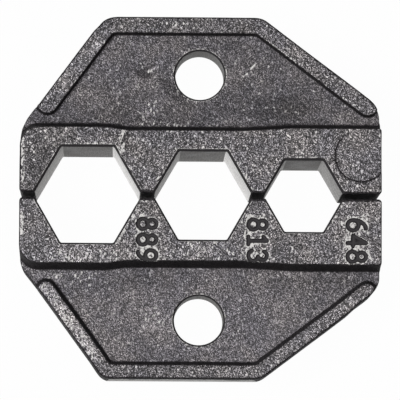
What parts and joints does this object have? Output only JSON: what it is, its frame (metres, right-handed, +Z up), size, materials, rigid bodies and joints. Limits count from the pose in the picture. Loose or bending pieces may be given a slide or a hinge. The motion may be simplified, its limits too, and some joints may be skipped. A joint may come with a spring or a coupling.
{
  "type": "crimp die",
  "caption": "Hexagonal crimp die for a hand tool: two matching black steel halves with a thick nest band and a thin rimmed tang, lying face up with the nests nearly closed.",
  "frame": {"origin": "on the bench under the middle of the set, on the parting plane and half way along the dies", "axes": "+Z up through the thickness with the size figures of the lower half facing up, +X along the row of nests from the largest to the smallest, +Y the way the upper half opens"},
  "size_m": [0.0354, 0.0358, 0.0095],
  "materials": {
    "black_oxide_steel": "grit-blasted casting skin with black oxide, nest and hole walls ground bright"
  },
  "bodies": {
    "lower_die": {"lower_die": "black_oxide_steel"},
    "upper_die": {"upper_die": "black_oxide_steel"}
  },
  "joints": [
    {"name": "die_opening", "type": "slide", "parent": "lower_die", "child": "upper_die", "axis": [0, 1, 0], "range_m": [-0.00045, 0.014]}
  ]
}
